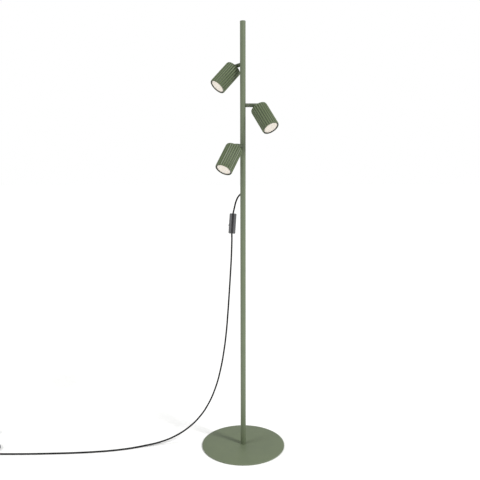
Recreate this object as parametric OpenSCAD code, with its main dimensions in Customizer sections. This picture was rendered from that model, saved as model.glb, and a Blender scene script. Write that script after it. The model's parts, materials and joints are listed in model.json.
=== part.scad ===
// Adjustable arm floor lamp: a round pole on a flat steel disc, with three ribbed spot heads that
// turn and tilt on short arms, and a mains cord with an in-line switch.
// Millimetres, +Z up. The origin is on the pole's axis at floor level. +X points along the middle
// arm, and the cord leaves the pole at its back, towards +Y.

/* [Base] */
// Diameter of the base disc
base_d = 300; // [240:5:400]
// Thickness of the steel base plate
plate_t = 4; // [3.8:0.2:8]
// Thickness of the pad ring under the plate
pad_t = 1; // [0.5:0.5:3]
// Gap between the plate's rim and the pad's rim
pad_inset = 5; // [2:1:20]
// Bevel round the plate's top edge
plate_bevel = 0.6; // [0.2:0.1:1.5]
// Diameter of the screw that holds the pole
screw_d = 6; // [5:1:8]
// Depth of the screw in the pole's foot plug
screw_grip = 20; // [10:1:30]

/* [Pole] */
// Height of the pole's top above the floor
pole_top = 1500; // [1250:10:1900]
// Outside diameter of the pole
pole_d = 19; // [17:0.5:26]
// Wall of the pole's tubes
pole_wall = 1.2; // [0.8:0.1:1.8]
// Thickness of the cap's flat top
cap_t = 1.5; // [1:0.5:4]
// Length of the foot plug and of the cap's spigot
plug_len = 30; // [22:1:45]
// Length of the joiner sleeve between the two tubes
joiner_len = 90; // [50:5:140]
// Height of the cord's exit above the tubes' seam
seam_drop = 165; // [80:5:250]

/* [Arms] */
// Drop of the top arm below the pole's top
arm_drop = 140; // [110:1:250]
// Spacing between neighbouring arms along the pole
arm_gap = 137.5; // [120:0.5:200]
// Reach from the pole's axis to the tilt pivot
arm_reach = 49; // [48:1:80]
// Diameter of the arm
arm_d = 13; // [12:0.5:16]
// Length of the fixed stub outside the pole
stub_len = 8.5; // [5:0.5:12]
// Diameter of the stub's threaded spigot in the pole's wall
spigot_d = 10; // [9:0.5:10]
// Diameter of the journal that the arm turns on
journal_d = 8; // [7:0.5:9]
// Length of the journal inside the turning arm
journal_len = 9.2; // [6:0.2:12]
// Bore for the leads
lead_bore = 4.4; // [3:0.2:5]
// Thickness of the friction washer between stub and turning arm
washer_t = 0.5; // [0.3:0.1:1]

/* [Tilt joint] */
// Thickness of the tongue between the fork's ears
tongue_t = 5; // [4:0.5:6]
// Diameter of the pivot screw's shank
pivot_d = 4; // [3:0.5:4]
// Length of the tongue's neck from the fork's round end to the head's back
neck_len = 6; // [3:0.5:10]
// Diameter of the tongue's threaded end in the head
tongue_stud_d = 8; // [6:1:10]

/* [Heads] */
// Outside diameter of a head over its ribs
head_d = 60; // [59:1:80]
// Length of a head
head_len = 91; // [86:1:120]
// Bore of a head's shell
head_bore = 53; // [52.5:0.5:53.5]
// Thickness of a shell's closed back
back_t = 4; // [3:0.5:6]
// Number of ribs round a shell
ribs = 22; // [16:1:26]
// Radius of the round-bottomed groove between two ribs
flute_r = 2.6; // [1.5:0.1:3]
// Depth of that groove
flute_depth = 2; // [0.6:0.1:2.2]
// Width of the plain lip at both ends of a shell
lip_w = 1.2; // [0.8:0.1:3]

/* [Lamps] */
// Diameter of the lamp's face
lamp_d = 50; // [49:0.5:51]
// Length of the lamp without its pins
lamp_len = 47; // [44:1:50]
// Recess of the lamp's face behind the shell's rim
lamp_recess = 2; // [1:0.5:6]
// Diameter of the ceramic lamp holder
holder_d = 24; // [22:1:28]
// Length of the ceramic lamp holder
holder_len = 20; // [16:1:24]

/* [Cord] */
// Diameter of the mains cord
cord_d = 6; // [5:0.1:6.4]
// Drop of the cord's exit below the lower arm
exit_drop = 160; // [130:1:200]
// Length of the strain relief outside the pole
relief_len = 24; // [20:1:40]

/* [Switch] */
// Length of the switch along the cord
switch_len = 72; // [60:1:90]
// Width of the switch across its two covers
switch_w = 25; // [22:1:30]
// Depth of the switch from front to back
switch_t = 19; // [17:1:24]
// Width of the sunk groove between the covers
groove_w = 6.5; // [5:0.5:8]

/* [Hidden] */
$fn = 64;
LEVEL = ["top", "middle", "lower"];
PER_HEAD = ["stub", "swivel_arm", "set_screw", "pivot_screw", "tilt_tongue", "head_shell",
            "holder_bracket", "lamp_holder", "lamp_body", "lamp_lens", "front_ring"];

SAGE = [0.42, 0.47, 0.36];
STEEL = [0.62, 0.63, 0.65];
BLACK = [0.10, 0.10, 0.11];
GREY = [0.30, 0.30, 0.31];

// Direction of each arm round the pole, its turn about its own axis, and its head's tilt
arm_dir = [120, 0, 240];
arm_turn = [44, -30, -7];
head_tilt = [89, 64, 53];

eps = 0.01;
run_clear = 0.05;   // radial clearance of a turning fit
side_clear = 0.1;   // clearance beside a sliding face
hole_clear = 0.2;   // radial clearance of a plain hole

pole_r = pole_d / 2;
pole_in = pole_r - pole_wall;
base_top = pad_t + plate_t;
function arm_z(i) = pole_top - arm_drop - arm_gap * i;
exit_z = arm_z(2) - exit_drop;
seam_z = exit_z - seam_drop;

stub_end = pole_r + stub_len;
arm_start = stub_end + washer_t + side_clear;
journal_end = stub_end + washer_t + journal_len;
nut_h = 5.8;
nut_x = pole_in - nut_h;           // inner face of the lock nut
spigot_end = pole_r + 3;           // where the spigot ends inside the collar
fork_r = arm_d / 2;
fork_depth = fork_r + 1.1;         // slot's floor behind the pivot
slot_w = tongue_t + 2 * side_clear;
back_x = fork_r + neck_len;        // head's back face, from the pivot
front_x = back_x + head_len;
face_x = front_x - lamp_recess;    // lamp's face
seat_x = face_x - lamp_len;        // lamp's foot on its holder
set_x = arm_start + journal_len / 2;

// ---------- places ----------
module at_arm(i) {
    translate([0, 0, arm_z(i)]) rotate([0, 0, arm_dir[i]]) children();
}
module at_swivel(i) {
    at_arm(i) rotate([arm_turn[i], 0, 0]) children();
}
// Origin on the tilt pivot, +X the way the light leaves
module at_head(i) {
    at_swivel(i) translate([arm_reach, 0, 0]) rotate([0, head_tilt[i], 0]) children();
}
// A shape of revolution drawn as [distance along X, radius] points
module turned(points) {
    rotate([0, 90, 0]) rotate([0, 0, 180]) rotate_extrude() polygon([for (p = points) [p[1], p[0]]]);
}
module rod_x(x0, x1, r) {
    translate([x0, 0, 0]) rotate([0, 90, 0]) cylinder(h = x1 - x0, r = r);
}
module rod_y(y0, y1, r) {
    translate([0, y0, 0]) rotate([-90, 0, 0]) cylinder(h = y1 - y0, r = r);
}

// ---------- base ----------
sink_d = 2 * screw_d;
sink_h = screw_d / 2;
socket_w = 0.75 * screw_d;
socket_h = 0.35 * screw_d;
pad_hole_d = 4 * screw_d;

module base_plate() {
    color(SAGE) rotate_extrude($fn = 180) polygon([
        [sink_d / 2 + run_clear, pad_t], [screw_d / 2 + hole_clear, pad_t + sink_h],
        [screw_d / 2 + hole_clear, base_top], [base_d / 2 - plate_bevel, base_top],
        [base_d / 2, base_top - plate_bevel], [base_d / 2, pad_t + plate_bevel / 2],
        [base_d / 2 - plate_bevel / 2, pad_t]]);
}

module base_pad() {
    color(BLACK) difference() {
        cylinder(h = pad_t, d = base_d - 2 * pad_inset, $fn = 180);
        translate([0, 0, -1]) cylinder(h = pad_t + 2, d = pad_hole_d);
    }
}

module base_screw() {
    color(STEEL) difference() {
        rotate_extrude() polygon([
            [0, pad_t], [sink_d / 2, pad_t], [screw_d / 2, pad_t + sink_h],
            [screw_d / 2, base_top + screw_grip], [0, base_top + screw_grip]]);
        translate([0, 0, pad_t - 1]) cylinder(h = 1 + socket_h, d = socket_w, $fn = 6);
    }
}

module foot_plug() {
    color(STEEL) translate([0, 0, base_top]) difference() {
        cylinder(h = plug_len, r = pole_in);
        translate([0, 0, -1]) cylinder(h = plug_len + 2, d = screw_d);
    }
}

// ---------- pole ----------
joiner_wall = 2.5;
cap_spigot_wall = 1.2;

module tube(z0, z1) {
    translate([0, 0, z0]) difference() {
        cylinder(h = z1 - z0, r = pole_r);
        translate([0, 0, -1]) cylinder(h = z1 - z0 + 2, r = pole_in);
    }
}

module lower_pole() {
    color(SAGE) tube(base_top, seam_z);
}

module pole_joiner() {
    color(STEEL) translate([0, 0, seam_z - joiner_len / 2]) difference() {
        cylinder(h = joiner_len, r = pole_in);
        translate([0, 0, -1]) cylinder(h = joiner_len + 2, r = pole_in - joiner_wall);
    }
}

relief_neck_r = cord_d / 2 + 1.3;

module upper_pole() {
    color(SAGE) difference() {
        tube(seam_z, pole_top - cap_t);
        for (i = [0:2]) at_arm(i) rod_x(pole_in / 2, pole_r + 1, spigot_d / 2 + hole_clear);
        translate([0, 0, exit_z]) rod_y(pole_in / 2, pole_r + 1, relief_neck_r);
    }
}

module pole_cap() {
    color(SAGE) {
        translate([0, 0, pole_top - cap_t]) cylinder(h = cap_t, r = pole_r);
        translate([0, 0, pole_top - cap_t - plug_len / 2]) difference() {
            cylinder(h = plug_len / 2 + eps, r = pole_in);
            translate([0, 0, -1]) cylinder(h = plug_len / 2, r = pole_in - cap_spigot_wall);
        }
    }
}

// ---------- arms ----------
nut_d = spigot_d + 3.8;            // across the lock nut's corners
washer_r = arm_d / 2 - 0.5;
set_d = 3;
set_groove = 0.8;                  // depth of the groove that the set screw runs in
set_sink = 0.4;                    // depth of the set screw below the arm's outside
set_tip = arm_d / 2 - journal_d / 2 + 0.6;   // from the arm's outside to the screw's tip
hex_w = 1.6;                       // socket across its corners

module stub() {
    color(SAGE) difference() {
        union() {
            rod_x(0, stub_end, arm_d / 2);
            rod_x(stub_end - eps, journal_end, journal_d / 2);
        }
        translate([0, 0, -arm_d]) cylinder(h = 2 * arm_d, r = pole_r);
        rod_x(0, journal_end + 1, lead_bore / 2);
        rod_x(0, spigot_end, spigot_d / 2);
        // Groove that the set screw runs in
        translate([set_x, 0, 0]) rotate([0, 90, 0]) difference() {
            cylinder(h = set_d + 2 * side_clear, r = journal_d, center = true);
            cylinder(h = arm_d, r = journal_d / 2 - set_groove, center = true);
        }
    }
    // Threaded spigot through the pole's wall
    color(STEEL) difference() {
        rod_x(nut_x, spigot_end, spigot_d / 2);
        rod_x(nut_x - 1, spigot_end + 1, lead_bore / 2);
    }
}

module arm_nuts() {
    color(STEEL) for (i = [0:2]) at_arm(i) intersection() {
        difference() {
            translate([nut_x, 0, 0]) rotate([0, 90, 0]) rotate([0, 0, 30])
                cylinder(h = pole_in, d = nut_d, $fn = 6);
            rod_x(0, pole_r, spigot_d / 2);
        }
        translate([0, 0, -arm_d]) cylinder(h = 2 * arm_d, r = pole_in);
    }
}

module arm_washers() {
    color(BLACK) for (i = [0:2]) at_arm(i) difference() {
        rod_x(stub_end, stub_end + washer_t, washer_r);
        rod_x(stub_end - 1, stub_end + washer_t + 1, journal_d / 2 + run_clear);
    }
}

pivot_head_r = pivot_d * 0.85;
pivot_head_h = 1.4;
pivot_seat = -arm_d / 2 + 2.3;     // under the pivot screw's head
pivot_tip = arm_d / 2 - 0.8;       // end of its threaded hole
pivot_hex_w = 2.9;

module swivel_arm() {
    color(SAGE) difference() {
        intersection() {
            rod_x(arm_start, arm_reach + fork_r, arm_d / 2);
            union() {
                rod_x(arm_start - 1, arm_reach, arm_d);
                translate([arm_reach, 0, 0]) rod_y(-arm_d, arm_d, fork_r);
            }
        }
        rod_x(arm_start - 1, journal_end + side_clear, journal_d / 2 + run_clear);
        rod_x(arm_start, arm_reach, lead_bore / 2);
        // Slot between the fork's ears
        translate([arm_reach - fork_depth, -slot_w / 2, -arm_d])
            cube([fork_depth + arm_d, slot_w, 2 * arm_d]);
        translate([arm_reach, 0, 0]) {
            rod_y(-arm_d, pivot_tip, pivot_d / 2);
            rod_y(-arm_d, pivot_seat, pivot_head_r + hole_clear);
        }
        // Hole for the set screw
        translate([set_x, 0, -arm_d]) cylinder(h = arm_d, d = set_d);
    }
}

module set_screw() {
    color(STEEL) difference() {
        translate([set_x, 0, -arm_d / 2 + set_sink]) cylinder(h = set_tip - set_sink, d = set_d);
        translate([set_x, 0, -arm_d / 2]) cylinder(h = set_sink + hex_w / 2, d = hex_w, $fn = 6);
    }
}

module pivot_screw() {
    color(STEEL) translate([arm_reach, 0, 0]) difference() {
        union() {
            rod_y(pivot_seat - eps, pivot_tip - side_clear, pivot_d / 2);
            rod_y(pivot_seat - pivot_head_h, pivot_seat, pivot_head_r);
        }
        rotate([-90, 0, 0]) translate([0, 0, pivot_seat - 2 * pivot_head_h])
            cylinder(h = 1.6 * pivot_head_h, d = pivot_hex_w, $fn = 6);
    }
}

tongue_r = fork_r - 0.3;
neck_w = 9;                        // width of the flat neck
foot_r = fork_r - 0.5;             // round foot against the head's back
foot_t = 2;
stud_len = back_t + 3;             // through the head's back and the bracket

module tilt_tongue() {
    color(SAGE) difference() {
        union() {
            rod_y(-tongue_t / 2, tongue_t / 2, tongue_r);
            translate([0, -tongue_t / 2, -neck_w / 2]) cube([back_x - foot_t / 2, tongue_t, neck_w]);
            rod_x(back_x - foot_t, back_x, foot_r);
            rod_x(back_x - eps, back_x + stud_len, tongue_stud_d / 2);
        }
        rod_y(-arm_d, arm_d, pivot_d / 2 + run_clear);
        rod_x(back_x - foot_t / 2, back_x + stud_len + 1, lead_bore / 2);
    }
}

// ---------- heads ----------
bracket_t = 1.5;
bracket_x = back_x + back_t;
bracket_wall = 1.2;
bracket_flange = 5;                // width of the bracket's flange round the holder
cable_room = 6;                    // depth of the recess for the leads in the holder's foot

flange_t = 1.4;                    // flange of the front ring, sunk in the shell's rim
flange_wall = 0.8;                 // thinnest wall between that flange and a groove
flange_r = head_d / 2 - flute_depth - flange_wall;

module head_shell() {
    rib_r = head_d / 2;
    lip_r = rib_r - flute_depth / 2;
    color(SAGE) difference() {
        union() {
            rod_x(back_x, front_x, rib_r - flute_depth + eps);
            rod_x(back_x, back_x + lip_w, lip_r);
            rod_x(front_x - lip_w, front_x, lip_r);
            translate([back_x + lip_w - eps, 0, 0]) rotate([0, 90, 0])
                linear_extrude(height = head_len - 2 * lip_w + 2 * eps) difference() {
                    circle(r = rib_r, $fn = 96);
                    for (k = [0:ribs - 1]) rotate(k * 360 / ribs)
                        translate([rib_r - flute_depth + flute_r, 0]) circle(r = flute_r, $fn = 24);
                }
        }
        rod_x(bracket_x, front_x + 1, head_bore / 2);
        rod_x(front_x - flange_t, front_x + 1, flange_r);
        rod_x(back_x - 1, bracket_x + 1, tongue_stud_d / 2 + run_clear);
    }
}

module holder_bracket() {
    color(STEEL) difference() {
        union() {
            rod_x(bracket_x, bracket_x + bracket_t, holder_d / 2 + bracket_flange);
            rod_x(bracket_x, seat_x - holder_len / 2, holder_d / 2 + bracket_wall);
        }
        rod_x(bracket_x + bracket_t, seat_x, holder_d / 2);
        rod_x(bracket_x - 1, bracket_x + 2, tongue_stud_d / 2);
    }
}

pin_gap = 10;                      // between the lamp's two bayonet pins
pin_d = 4.8;
pin_len = 7;

module lamp_holder() {
    color([0.90, 0.89, 0.85]) difference() {
        rod_x(seat_x - holder_len, seat_x, holder_d / 2);
        for (s = [-1, 1]) translate([0, s * pin_gap / 2, 0])
            rod_x(seat_x - pin_len - 0.5, seat_x + 1, pin_d / 2 + run_clear);
        rod_x(seat_x - holder_len - 1, seat_x - holder_len + cable_room, holder_d / 4);
    }
}

lens_r = lamp_d / 2 - 0.8;
lens_t = 2.4;
lens_sink = 0.3;                   // depth of the lens below the lamp's rim
rim_t = 4;
foot_neck_r = 9.5;                 // the lamp's foot between pins and driver
foot_neck_len = 14;
driver_r = 13;
cone_len = 8;                      // slope that widens to the rim

module lamp_body() {
    color([0.88, 0.87, 0.84]) difference() {
        union() {
            turned([[seat_x, 0], [seat_x, foot_neck_r], [seat_x + foot_neck_len, foot_neck_r],
                    [seat_x + foot_neck_len + 3, driver_r],
                    [face_x - rim_t - cone_len, lamp_d / 2 - 5], [face_x - rim_t, lamp_d / 2],
                    [face_x - 0.4, lamp_d / 2], [face_x, lamp_d / 2 - 0.4], [face_x, 0]]);
            for (s = [-1, 1]) translate([0, s * pin_gap / 2, 0])
                rod_x(seat_x - pin_len, seat_x + eps, pin_d / 2);
        }
        rod_x(face_x - lens_t, face_x + 1, lens_r);
    }
}

module lamp_lens() {
    color([0.96, 0.93, 0.85]) rod_x(face_x - lens_t, face_x - lens_sink, lens_r);
}

ring_gap = 0.4;                    // between the ring's face and the shell's rim
ring_lap = 1;                      // how far the ring reaches over the lamp's rim

module front_ring() {
    color(BLACK) difference() {
        union() {
            rod_x(face_x - rim_t, front_x - ring_gap, head_bore / 2);
            rod_x(front_x - flange_t, front_x - ring_gap, flange_r);
        }
        rod_x(face_x - rim_t - 1, face_x, lamp_d / 2);
        rod_x(face_x - 1, front_x, lamp_d / 2 - ring_lap);
    }
}

// ---------- wiring in the pole ----------
block_w = 9;
block_h = 22;
block_z = exit_z + 16;
wire_r = 1.6;

module terminal_block() {
    color([0.85, 0.84, 0.80]) translate([-block_w / 2, -block_w / 2, block_z])
        cube([block_w, block_w, block_h]);
}

module pole_wires() {
    color([0.75, 0.75, 0.72]) {
        // Cores from the cord's end up to the terminal block
        translate([0, 0, exit_z]) {
            rod_y(0, cord_start_y, wire_r);
            sphere(r = wire_r);
            cylinder(h = block_z - exit_z, r = wire_r);
        }
        // Trunk above the block, with a branch into each arm
        translate([0, 0, block_z + block_h]) cylinder(h = arm_z(0) - block_z - block_h, r = wire_r);
        for (i = [0:2]) at_arm(i) {
            sphere(r = wire_r);
            rod_x(0, stub_end, wire_r - side_clear);
        }
    }
}

// ---------- cord ----------
cord_r = cord_d / 2;
cord_start_y = pole_in / 2;
relief_tip = [0, pole_r + relief_len, exit_z];
cord_lift = 1;                       // the coil stands on its tie
coil_r = 5.5 * cord_d;               // middle of the coil's turns
coil_at = [-920, -40];

switch_at = [-38, 67, exit_z - 114];
switch_lean = 4;                     // the switch's top leans towards the pole
switch_axis = [sin(switch_lean), 0, cos(switch_lean)];
switch_in = switch_at + switch_axis * switch_len / 2;
switch_out = switch_at - switch_axis * switch_len / 2;

plug_at = [-957, 62, 7];             // where the cord meets the plug
plug_body_len = 34;
plug_w = 35;
plug_t = 13.6;
plug_neck = [14, 11, 12];            // width, depth and length of the neck round the cord
plug_pin_d = 4;
plug_pin_gap = 18.6;
plug_pin_out = 19;                   // length of the pins outside the plug
plug_pin_in = 8;                     // and inside it

upper_route = [
    [0, cord_start_y, exit_z], relief_tip - [0, 12, 0], relief_tip, relief_tip + [-1, 11, -1],
    relief_tip + [-7, 22, -6], relief_tip + [-17, 30, -17], relief_tip + [-25, 34, -34],
    switch_in + [4.5, 1, 21], switch_in];

hanging = [
    [-40.5, 66, 755], [-42.5, 62, 690], [-46.5, 58, 620], [-51, 54, 550], [-56, 51, 480],
    [-62, 48, 410], [-71, 45, 340], [-84, 42, 270], [-102, 38, 205], [-128, 33, 145],
    [-163, 26, 94], [-206, 18, 55], [-254, 8, 28], [-306, -4, 12], [-360, -18, 5.4]];
lying = [
    [-415, -36, 3.4], [-475, -51, 3.1], [-540, -61, 3.1], [-610, -68, 3.1], [-680, -72, 3.1],
    [-750, -75, 3.1], [-820, -76, 3.1], [-870, -76, 3.1], [-908, -76, 3.8]];
// The cord hangs from the switch, so it starts with the first point well below it
lower_route = concat([switch_out], [for (p = hanging) if (p[2] < switch_out[2] - 18) p], lying);

tail_route = [[-956, -26, 10.2], [-957, -8, 9], [-957, 12, 7.6], [-957, 37, 7], plug_at];

// Points of a smooth curve through p, with n steps between neighbours
function curve_point(p, i, t) = let (
    a = p[max(i - 1, 0)], b = p[i], c = p[i + 1], d = p[min(i + 2, len(p) - 1)],
    m = (c - a) / 2, k = (d - b) / 2)
    b * (2 * t * t * t - 3 * t * t + 1) + m * (t * t * t - 2 * t * t + t)
    + c * (3 * t * t - 2 * t * t * t) + k * (t * t * t - t * t);
function curve(p, n) = concat(
    [for (i = [0:len(p) - 2]) for (s = [0:n - 1]) curve_point(p, i, s / n)], [p[len(p) - 1]]);
function unit(v) = v / norm(v);
function heading(p, i) = unit(p[min(i + 1, len(p) - 1)] - p[max(i - 1, 0)]);
// Sideways direction of each ring, carried along so that the tube doesn't twist
function side_next(u, t) = unit(u - t * (u * t));
function sides(p, i, u) = i == len(p) ? [] :
    let (w = side_next(u, heading(p, i))) concat([w], sides(p, i + 1, w));

module swept(route, steps, around) {
    p = curve(route, steps);
    first = heading(p, 0);
    u = sides(p, 0, abs(first[0]) < 0.9 ? cross(first, [1, 0, 0]) : cross(first, [0, 1, 0]));
    points = [for (i = [0:len(p) - 1]) let (t = heading(p, i), v = cross(t, u[i]))
        for (k = [0:around - 1]) let (a = 360 * k / around)
            p[i] + (u[i] * cos(a) + v * sin(a)) * cord_r];
    walls = [for (i = [0:len(p) - 2]) for (k = [0:around - 1]) let (
        a = i * around + k, b = i * around + (k + 1) % around)
        [a, a + around, b + around, b]];
    ends = [[for (k = [0:around - 1]) k],
            [for (k = [around - 1:-1:0]) (len(p) - 1) * around + k]];
    polyhedron(points = points, faces = concat(walls, ends), convexity = 10);
}

relief_root_r = cord_r + 2.4;
relief_waist_r = cord_r + 1.6;
relief_tip_r = cord_r + 0.6;

module strain_relief() {
    color(BLACK) translate([0, 0, exit_z]) difference() {
        union() {
            rotate([-90, 0, 0]) rotate_extrude() polygon([
                [0, pole_in - 1], [relief_neck_r, pole_in - 1], [relief_neck_r, pole_r + 1],
                [relief_root_r, pole_r + 1], [relief_root_r, pole_r + 2.5],
                [relief_waist_r, pole_r + 3.5], [relief_tip_r, pole_r + relief_len],
                [0, pole_r + relief_len]]);
            // Foot that seats round the hole
            difference() {
                rod_y(pole_r / 2, pole_r + 1.2, relief_root_r);
                translate([0, 0, -pole_d]) cylinder(h = 2 * pole_d, r = pole_r);
            }
        }
        rod_y(0, pole_r + relief_len + 1, cord_r);
    }
}

module cord_upper() {
    color(BLACK) swept(upper_route, 2, 10);
}

module cord_lower() {
    color(BLACK) swept(lower_route, 2, 10);
}

module cord_tail() {
    color(BLACK) swept(tail_route, 2, 10);
}

module cord_coil() {
    color(BLACK) translate([coil_at[0], coil_at[1], cord_lift]) rotate_extrude()
        translate([coil_r - cord_d, 0]) square([2 * cord_d, 2 * cord_d]);
}

tie_w = 8;
tie_t = 1.6;
tie_angle = 55;

module cord_tie() {
    color(GREY) translate([coil_at[0], coil_at[1], 0]) rotate([0, 0, tie_angle])
        translate([coil_r, 0, cord_lift + cord_d]) difference() {
            cube([2 * cord_d + 2 * tie_t, tie_w, 2 * cord_d + 2 * cord_lift], center = true);
            translate([-coil_r, 0, 0]) difference() {
                cylinder(h = 2 * cord_d, r = coil_r + cord_d, center = true);
                cylinder(h = 3 * cord_d, r = coil_r - cord_d, center = true);
            }
        }
}

// ---------- switch, in its own frame: X across the covers, Z along the cord ----------
wall = 1.6;
cover_w = (switch_w - groove_w) / 2;
groove_sink = 1.4;
rocker_len = 18;
rocker_w = 9;
rocker_swing = 5;
rocker_x = -switch_w / 2 + 2.8;      // the rocker's pivot
rocker_pin_r = 1.2;
rocker_gap = 0.4;                    // beside the rocker in its window
eye_len = 2.2;                       // bearing eyes beside the rocker
eye_r = rocker_pin_r + 1.5;
core_wall = 1.2;
core_skin = 4;
screw_z = switch_len / 2 - 6;
screw_r = 1.25;
screw_head_r = 2.1;
screw_bite = 4;
screw_sink = 2;                      // under the screw's head, from the cover's side
boss_r = 2.6;
contact_t = 0.7;
contact_w = 6;

module at_switch() {
    translate(switch_at) rotate([0, switch_lean, 0]) children();
}
module block(x0, x1, w, h) {
    translate([x0, -w / 2, -h / 2]) cube([x1 - x0, w, h]);
}
module cover_shell(side) {
    outer = side * switch_w / 2;
    inner = side * groove_w / 2;
    difference() {
        block(min(inner, outer), max(inner, outer), switch_t, switch_len);
        block(min(inner - side, outer - side * wall), max(inner - side, outer - side * wall),
              switch_t - 2 * wall, switch_len - 2 * wall);
    }
}

module switch_core() {
    color(BLACK) difference() {
        block(-groove_w / 2, groove_w / 2, switch_t - 2 * groove_sink, switch_len);
        block(-groove_w / 2 + core_wall, groove_w / 2 - core_wall, switch_t - 2 * core_skin,
              switch_len - 4 * core_skin);
        for (z = [-1, 1]) translate([0, 0, z * screw_z]) rod_x(-groove_w, groove_w, screw_r);
    }
}

module switch_left_cover() {
    color(GREY) difference() {
        union() {
            cover_shell(-1);
            for (z = [-1, 1]) translate([0, 0, z * screw_z])
                rod_x(-switch_w / 2 + wall - eps, -groove_w / 2, boss_r);
            for (y = [-rocker_w / 2 - rocker_gap - eye_len, rocker_w / 2 + rocker_gap])
                translate([rocker_x, 0, 0]) rod_y(y, y + eye_len, eye_r);
        }
        block(-switch_w, -switch_w / 2 + wall + 1, rocker_w + 2 * rocker_gap, rocker_len + 6 * rocker_gap);
        translate([rocker_x, 0, 0])
            rod_y(-rocker_w / 2 - eye_len, rocker_w / 2 + eye_len, rocker_pin_r + run_clear);
        for (z = [-1, 1]) translate([0, 0, z * screw_z])
            rod_x(-groove_w / 2 - screw_bite, 0, screw_r);
    }
}

module switch_right_cover() {
    color(GREY) difference() {
        union() {
            cover_shell(1);
            for (z = [-1, 1]) translate([0, 0, z * screw_z])
                rod_x(groove_w / 2, switch_w / 2 - eps, boss_r);
        }
        for (z = [-1, 1]) translate([0, 0, z * screw_z]) {
            rod_x(0, switch_w, screw_r);
            rod_x(switch_w / 2 - screw_sink, switch_w, screw_head_r + side_clear);
        }
    }
}

module switch_screws() {
    color(STEEL) for (z = [-1, 1]) translate([0, 0, z * screw_z]) difference() {
        union() {
            rod_x(-groove_w / 2 - screw_bite, switch_w / 2 - screw_sink + eps, screw_r);
            rod_x(switch_w / 2 - screw_sink, switch_w / 2 - set_sink, screw_head_r);
        }
        translate([switch_w / 2 - set_sink, 0, 0]) cube([screw_sink / 2, contact_t, 5], center = true);
    }
}

module switch_rocker() {
    color(BLACK) translate([rocker_x, 0, 0]) rotate([0, rocker_swing, 0]) {
        rotate([90, 0, 0]) linear_extrude(height = rocker_w, center = true) polygon([
            [-2.8, 0], [-3.6, rocker_len / 2], [0.2, rocker_len / 2], [2.2, 3.5],
            [2.2, -3.5], [0.2, -rocker_len / 2], [-3.6, -rocker_len / 2]]);
        rod_y(-rocker_w / 2 - 2, rocker_w / 2 + 2, rocker_pin_r);
    }
}

module switch_contacts() {
    color([0.80, 0.65, 0.35]) for (x = [-1.2, 0.5])
        block(x, x + contact_t, contact_w, switch_len - 5 * core_skin);
}

// ---------- plug ----------
module at_pins() {
    translate(plug_at) for (side = [-1, 1]) translate([side * plug_pin_gap / 2, 0, 0]) children();
}

module plug_body() {
    color(BLACK) difference() {
        translate(plug_at) {
            translate([-plug_w / 2, plug_neck[2], -plug_t / 2])
                cube([plug_w, plug_body_len - plug_neck[2], plug_t]);
            translate([-plug_neck[0] / 2, 0, -plug_neck[1] / 2])
                cube([plug_neck[0], plug_neck[2] + eps, plug_neck[1]]);
        }
        at_pins() rod_y(plug_body_len - plug_pin_in, plug_body_len + 1, plug_pin_d / 2);
    }
}

module plug_pins() {
    color(STEEL) at_pins()
        rod_y(plug_body_len - plug_pin_in, plug_body_len + plug_pin_out, plug_pin_d / 2);
}

base_plate();
base_pad();
base_screw();
foot_plug();
lower_pole();
pole_joiner();
upper_pole();
pole_cap();
arm_nuts();
arm_washers();
terminal_block();
pole_wires();
strain_relief();
cord_upper();
cord_lower();
cord_coil();
cord_tail();
cord_tie();
at_switch() switch_core();
at_switch() switch_left_cover();
at_switch() switch_right_cover();
at_switch() switch_rocker();
at_switch() switch_contacts();
at_switch() switch_screws();
plug_body();
plug_pins();
for (i = [0:2]) {
    at_arm(i) stub();
    at_swivel(i) swivel_arm();
    at_swivel(i) set_screw();
    at_swivel(i) pivot_screw();
    at_head(i) tilt_tongue();
    at_head(i) head_shell();
    at_head(i) holder_bracket();
    at_head(i) lamp_holder();
    at_head(i) lamp_body();
    at_head(i) lamp_lens();
    at_head(i) front_ring();
}
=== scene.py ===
import json
import math

import bmesh
import bpy
from mathutils import Matrix, Vector


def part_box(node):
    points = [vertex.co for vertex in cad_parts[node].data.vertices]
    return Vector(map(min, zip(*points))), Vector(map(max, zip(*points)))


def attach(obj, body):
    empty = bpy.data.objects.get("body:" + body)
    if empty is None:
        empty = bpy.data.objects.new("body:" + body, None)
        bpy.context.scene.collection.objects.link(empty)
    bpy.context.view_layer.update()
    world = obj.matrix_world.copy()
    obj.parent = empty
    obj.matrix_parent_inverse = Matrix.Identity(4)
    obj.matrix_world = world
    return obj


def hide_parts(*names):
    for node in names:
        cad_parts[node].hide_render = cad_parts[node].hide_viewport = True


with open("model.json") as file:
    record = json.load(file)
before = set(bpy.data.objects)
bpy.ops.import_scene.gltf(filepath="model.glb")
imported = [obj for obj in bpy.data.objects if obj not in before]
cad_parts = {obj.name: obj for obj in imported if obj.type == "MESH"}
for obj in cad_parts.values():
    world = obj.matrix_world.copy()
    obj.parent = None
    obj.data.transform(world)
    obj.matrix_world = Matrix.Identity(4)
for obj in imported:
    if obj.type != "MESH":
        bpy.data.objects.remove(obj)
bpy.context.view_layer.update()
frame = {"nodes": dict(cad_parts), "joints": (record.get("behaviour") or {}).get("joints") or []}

# An adjustable arm floor lamp. Pieces are drawn in millimetres about their own axis, Z, and
# settle() brings each one to its place in metres. Places come from the frame's boxes and joints.

MM = 0.001
LEVELS = ("top", "middle", "lower")
BODY = "stand"

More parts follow.
